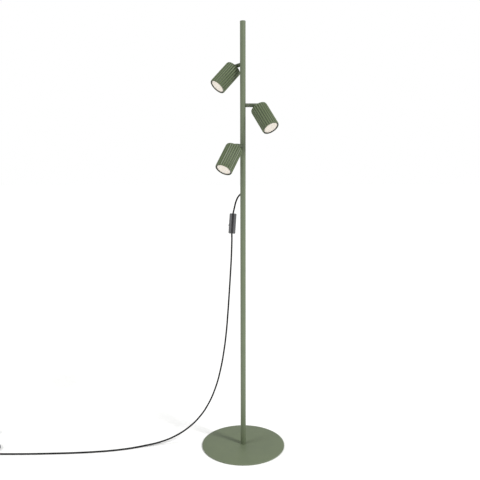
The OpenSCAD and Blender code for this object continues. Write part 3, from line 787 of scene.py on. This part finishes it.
def make_heads():
    """One set of pieces is modelled, and each head gets copies of it."""
    models = {
        "stub": (make_stub(), sage_aluminium, "sage_steel", None),
        "swivel_arm": (make_turning_arm(), sage_aluminium, "sage_steel", "arm"),
        "tilt_tongue": (make_tongue(), sage_aluminium, "sage_steel", "head"),
        "head_shell": (make_shell(), sage_fluted, "sage_aluminium", "head"),
        "front_ring": (make_ring(), rubber, "black_rubber", "head"),
        "lamp_lens": (make_lens(), opal, "cream_diffuser", "head")}
    for level in LEVELS:
        for part, (model, material, slot, body) in models.items():
            piece = twin(model, f"{level}_{model.name}")
            place = head_place(level) if body == "head" else arm_place(level)
            settle(piece, material, f"{level}_{body}" if body else BODY, place,
                   stands_for=[f"{level}_{part}"])
    for model, *_ in models.values():
        bpy.data.objects.remove(model)


make_heads()


# ---------- strain relief ----------
RELIEF_START = POLE_IN - 1
COLLAR_R = 5.4         # the collar against the pole, and where its chamfer ends
COLLAR_FOOT = POLE_R - 0.4
COLLAR_TOP = POLE_R + 1.6
COLLAR_CHAMFER = 1
RINGS = 7              # rings between the bending slots
RINGS_START = POLE_R + 3
RING_WIDEST = 4.3
RINGS_TAPER = 1.0
SLOT_SINK = 0.65
# Where a ring starts and ends and its slot begins, as shares of the pitch
RING_SHAPE = (0.15, 0.6, 0.7)
TIP_WALL = 0.5
TIP_LEN = 1            # plain tip past the last slot


def make_relief():
    """Soft sleeve with bending slots, tapered towards the cord."""
    tip = RELIEF_TIP.y / MM
    cord_r = CORD_D / 2 / MM
    outline = [(cord_r, RELIEF_START), (RELIEF_NECK_R, RELIEF_START), (RELIEF_NECK_R, COLLAR_FOOT),
               (COLLAR_R, COLLAR_FOOT), (COLLAR_R, COLLAR_TOP),
               (COLLAR_R - COLLAR_CHAMFER, COLLAR_TOP + COLLAR_CHAMFER)]
    pitch = (tip - TIP_LEN - RINGS_START) / RINGS
    for ring in range(RINGS):
        start = RINGS_START + ring * pitch
        foot, top, slot = [start + part * pitch for part in RING_SHAPE]
        outer = RING_WIDEST - RINGS_TAPER * ring / RINGS
        inner = outer - SLOT_SINK
        outline += [(outer, foot), (outer, top), (inner, slot), (inner, start + pitch)]
    outline += [(cord_r + TIP_WALL, tip), (cord_r, tip)]
    sleeve = turned("bend_sleeve", outline, steps=48)
    soften(sleeve, 0.12, angle=30)
    place = frame_of(Vector((0, 0, EXIT.z)), (0, 1, 0), (1, 0, 0))
    return settle(sleeve, rubber, place=place, stands_for=["strain_relief"])


bend_sleeve = make_relief()

# ---------- switch, drawn about its own middle: X across the covers, Z along the cord ----------
SWITCH_W = 25
SWITCH_T = 19
SWITCH_H = SWITCH_LEN / MM
GROOVE_W = 6.5         # groove between the covers
GROOVE_SINK = 1.4
OUTER_ROUND = 3.2
INNER_ROUND = 0.5
SCREW_Z = SWITCH_H / 2 - 6
SCREW_HEAD_R = 2.2
SCREW_SINK = 2
ENTRY_R = 3.6          # collar where the cord goes in
ENTRY_T = 3
ROCKER_X = -SWITCH_W / 2 + 2.8
ROCKER_W = 9
ROCKER_LEN = 18
ROCKER_OUT = -2.8      # the rocker's face and back at its middle
ROCKER_BACK = 2.2
END_LIFT = 0.9         # how far its ends lie further out, on the face and on the back
BACK_LIFT = 1.2
ROCKER_PIN_R = 1.2
ROCKER_PIN_OUT = 2
ROCKER_SWING = math.radians(5)
ROCKER_GAP = 0.4       # gap round the rocker in its window
WINDOW_DEEP = 4        # how far the window goes past the rocker's pin


def switch_place():
    return Matrix.Translation(SWITCH_AT) @ Matrix.Rotation(SWITCH_LEAN, 4, "Y")


def half_cover(name, side):
    """Half of the case, with generous rounds at its outer corners, parted along the groove."""
    inner, outer = side * GROOVE_W / 2, side * SWITCH_W / 2
    cover = block(name, (min(inner, outer), -SWITCH_T / 2, -SWITCH_H / 2),
                  (max(inner, outer), SWITCH_T / 2, SWITCH_H / 2))
    bpy.ops.object.mode_set(mode="EDIT")
    pick(cover, "EDGE", lambda m: near(m.x, outer))
    bpy.ops.mesh.bevel(offset=OUTER_ROUND, segments=6, affect="EDGES")
    pick(cover, "EDGE", lambda m: near(m.x, inner))
    bpy.ops.mesh.bevel(offset=INNER_ROUND, segments=2, affect="EDGES")
    done()
    return cover


def make_switch():
    """Two covers, one with the rocker's window and one with the screw holes, on a core strip."""
    place = switch_place()
    left = half_cover("left_cover", -1)
    window_w = ROCKER_W / 2 + ROCKER_GAP
    window_len = ROCKER_LEN / 2 + 3 * ROCKER_GAP
    cut(left, block("window", (-SWITCH_W, -window_w, -window_len),
                    (ROCKER_X + WINDOW_DEEP, window_w, window_len)))
    settle(left, grey_abs, place=place, stands_for=["switch_left_cover"])
    right = half_cover("right_cover", 1)
    depth = SWITCH_T / 2 - GROOVE_SINK
    core = block("core_strip", (-GROOVE_W / 2, -depth, -SWITCH_H / 2), (GROOVE_W / 2, depth, SWITCH_H / 2))
    for side in (-1, 1):
        cut(right, rod("screw_hole", "X", SWITCH_W / 2 - SCREW_SINK, SWITCH_W, SCREW_HEAD_R,
                       at=(0, 0, side * SCREW_Z)))
        entry = side * (SWITCH_H - ENTRY_T) / 2
        cut(core, rod("collar", "Z", entry - ENTRY_T / 2, entry + ENTRY_T / 2, ENTRY_R), "UNION")
    settle(right, grey_abs, place=place, stands_for=["switch_right_cover"])
    soften(core, 0.3)
    settle(core, black_abs, place=place, stands_for=["switch_core"])
    return [left, right, core]


def make_rocker():
    """Rocker with two finger slopes, pressed down at one end."""
    half = ROCKER_LEN / 2
    rocker = block("rocker", (ROCKER_OUT, -ROCKER_W / 2, -half), (ROCKER_BACK, ROCKER_W / 2, half))
    bpy.ops.object.mode_set(mode="EDIT")
    bpy.ops.mesh.select_all(action="SELECT")
    bpy.ops.mesh.bisect(plane_co=(0, 0, 0), plane_no=(0, 0, 1))
    for side in (-1, 1):
        pick(rocker, "VERT", lambda v: near(v.z, side * half))
        bpy.ops.transform.translate(value=(-END_LIFT, 0, 0))
        pick(rocker, "VERT", lambda v: near(v.z, side * half) and v.x > 0)
        bpy.ops.transform.translate(value=(-BACK_LIFT, 0, 0))
    done()
    pin_end = ROCKER_W / 2 + ROCKER_PIN_OUT
    cut(rocker, rod("pin", "Y", -pin_end, pin_end, ROCKER_PIN_R, corners=24), "UNION")
    soften(rocker, 0.35)
    place = (switch_place() @ Matrix.Translation((ROCKER_X * MM, 0, 0))
             @ Matrix.Rotation(ROCKER_SWING, 4, "Y"))
    return settle(rocker, black_abs, "rocker", place, ["switch_rocker"])


switch_pieces = make_switch() + [make_rocker()]


# ---------- plug, drawn about the cord's end with Z towards the pins ----------
NECK = (12, 9.6, 12)   # width, thickness and length of the neck that the cord goes into
# Width, thickness and length of each stretch of the body, from the neck to the front
STRETCHES = ((24, 12, 4), (33.4, 13.4, 5), (35, 13.6, 5), (34.4, 13.2, 8))
PLUG_T = 13.6
PLUG_LEN = 34
GRIPS = 4              # finger grooves on each side
GRIP_START = 18
GRIP_PITCH = 2.6
GRIP_R = 0.7
GRIP_W = 16
GRIP_PROUD = 0.25      # from the body's face to a groove's middle
PIN_X = 9.3
PIN_R = 2
PIN_OUT = 19
PIN_SINK = 4           # how far the pins go into the body
SLEEVE_OUT = 10        # insulation on each pin, and how far it goes into the body
SLEEVE_SINK = 1
SLEEVE_T = 0.05


def make_plug():
    """Flat moulded plug: a neck that tapers to the cord, finger grooves and a rounded front."""
    was_w, was_t, top = NECK
    plug = begin("plug_moulding", bpy.ops.mesh.primitive_cube_add, size=1, location=(0, 0, top / 2),
                 scale=NECK)
    for width, thickness, length in STRETCHES:
        pick(plug, "FACE", lambda m: near(m.z, top))
        bpy.ops.mesh.extrude_region_move(TRANSFORM_OT_translate={"value": (0, 0, length)})
        top += length
        bpy.ops.transform.resize(value=(width / was_w, thickness / was_t, 1), center_override=(0, 0, top))
        was_w, was_t = width, thickness
    done()
    soften(plug, 2.6, segments=5, angle=20)
    for side in (-1, 1):
        for grip in range(GRIPS):
            middle = (0, side * (PLUG_T / 2 + GRIP_PROUD), GRIP_START + GRIP_PITCH * grip)
            cut(plug, rod("groove", "X", -GRIP_W / 2, GRIP_W / 2, GRIP_R, at=middle, corners=16))
    place = frame_of(PLUG_AT, (0, 1, 0), (0, 0, 1))
    settle(plug, black_abs, place=place, stands_for=["plug_body"])
    return [plug] + make_pins(place)


def make_pins(place):
    """Two round pins, and the insulation round the inner part of each."""
    foot, tip = PLUG_LEN - PIN_SINK, PLUG_LEN + PIN_OUT
    pins = turned("pin", [(0, foot), (PIN_R, foot), (PIN_R, tip - 1.2), (PIN_R - 0.3, tip - 0.5),
                          (PIN_R - 1, tip), (0, tip)], steps=32)
    foot, tip = PLUG_LEN - SLEEVE_SINK, PLUG_LEN + SLEEVE_OUT
    sleeve = turned("sleeve", [(PIN_R, foot), (PIN_R + SLEEVE_T, foot), (PIN_R + SLEEVE_T, tip),
                               (PIN_R, tip)], steps=32)
    pieces = []
    for name, model, material, slot, node in (
            ("contact_pins", pins, nickel, "zinc_steel", ["plug_pins"]),
            ("pin_sleeves", sleeve, black_abs, "black_plastic", [])):
        other = twin(model, name + "_right")
        model.data.transform(Matrix.Translation((-PIN_X, 0, 0)))
        other.data.transform(Matrix.Translation((PIN_X, 0, 0)))
        only(model)
        other.select_set(True)
        bpy.ops.object.join()
        model.name = model.data.name = name
        pieces.append(settle(model, material, place=place, stands_for=node))
    return pieces


plug_pieces = make_plug()


# ---------- tie round the coil ----------
TIE_W = 8
TIE_T = 0.9
TIE_ROUND = 2.2
TIE_SPACE = 0.9        # from the turns' sides to the tie's outside
TIE_AT = math.radians(55)


def make_tie():
    """Strap closed round the coil's turns."""
    half = CORD_D / MM + TIE_SPACE
    tie = begin("coil_tie", bpy.ops.mesh.primitive_cube_add, size=2, scale=(half, TIE_W / 2, half))
    pick(tie, "FACE", lambda m: abs(m.y) > TIE_W / 2 - SLACK)
    bpy.ops.mesh.delete(type="FACE")
    pick(tie, "EDGE", lambda m: abs(m.x) > 1 and abs(m.z) > 1 and near(m.y, 0))
    bpy.ops.mesh.bevel(offset=TIE_ROUND, segments=5, affect="EDGES")
    done()
    only(tie)
    wall = tie.modifiers.new("wall", "SOLIDIFY")
    wall.thickness = TIE_T
    wall.offset = -1
    bpy.ops.object.modifier_apply(modifier=wall.name)
    soften(tie, 0.2)
    place = (Matrix.Translation(COIL_AT + Vector((0, 0, CORD_D))) @ Matrix.Rotation(TIE_AT, 4, "Z")
             @ Matrix.Translation((COIL_R, 0, 0)))
    return settle(tie, tie_fabric, place=place, stands_for=["cord_tie"])


coil_tie = make_tie()

# ---------- the cord's facts ----------
mains_cord.data.materials.append(sheath)
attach(mains_cord, BODY)
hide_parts("cord_upper", "cord_lower", "cord_coil", "cord_tail")

# ---------- finishes of the pieces that stay as designed ----------
FINISHES = {
    "base_pad": rubber, "base_screw": zinc, "foot_plug": zinc, "pole_joiner": zinc,
    "arm_nuts": zinc, "arm_washers": nylon, "terminal_block": white_polycarbonate, "pole_wires": silicone,
    "switch_contacts": brass, "switch_screws": zinc}
HEAD_FINISHES = {
    "set_screw": zinc, "pivot_screw": zinc, "holder_bracket": zinc, "lamp_holder": steatite,
    "lamp_body": white_polycarbonate}
FINISHES.update({f"{level}_{part}": m for level in LEVELS for part, m in HEAD_FINISHES.items()})
for node, material in FINISHES.items():
    frame["nodes"][node].data.materials.clear()
    frame["nodes"][node].data.materials.append(material)


# ---------- studio ----------
FLOOR = 80             # metres, wide enough to have no edge in view
ROOM_LIGHT = 0.46
WALL_WHITE = 1.0
KEY_LIGHT = 2.3
FILL_LIGHT = 1.0


def pale_paper():
    """Uncoated white paper, matt, with a barely seen drift of tone."""
    material, shader = new_material("pale_paper", Roughness=0.9, Specular_IOR_Level=0.1)
    cloud = grain(material, size_mm=40)
    colour = tint(material, between(material, cloud, 0, 1), "#FBFBFA", "#F9F9F8")
    connect(material, shader, Base_Color=colour)
    return material


def make_floor():
    floor = begin("floor", bpy.ops.mesh.primitive_plane_add, size=FLOOR)
    done()
    floor.data.materials.append(pale_paper())


def add_sun(name, towards, strength, softness):
    """A large soft lamp far away, shining towards a direction. Softness is in degrees."""
    lamp = bpy.data.lights.new(name, "SUN")
    lamp.energy = strength
    lamp.angle = math.radians(softness)
    light = bpy.data.objects.new(name, lamp)
    bpy.context.scene.collection.objects.link(light)
    light.matrix_world = Vector(towards).to_track_quat("-Z", "Y").to_matrix().to_4x4()


def set_light():
    """A white room: the walls are seen white, and light the object more softly than the lamps do."""
    world = bpy.data.worlds.new("studio")
    world.use_nodes = True
    sky = world.node_tree.nodes["Background"]
    sky.inputs["Color"].default_value = linear("#FFFFFF")
    path = add(world, "LightPath")
    level = add(world, "MapRange", {
        "Value": path.outputs["Is Camera Ray"], "To Min": ROOM_LIGHT, "To Max": WALL_WHITE})
    world.node_tree.links.new(level.outputs[0], sky.inputs["Strength"])
    bpy.context.scene.world = world
    add_sun("key", (-0.8, 0.6, -0.9), KEY_LIGHT, softness=12)
    add_sun("fill", (0.85, 0.48, -0.95), FILL_LIGHT, softness=24)


make_floor()
set_light()
bpy.context.scene.view_settings.view_transform = "Standard"
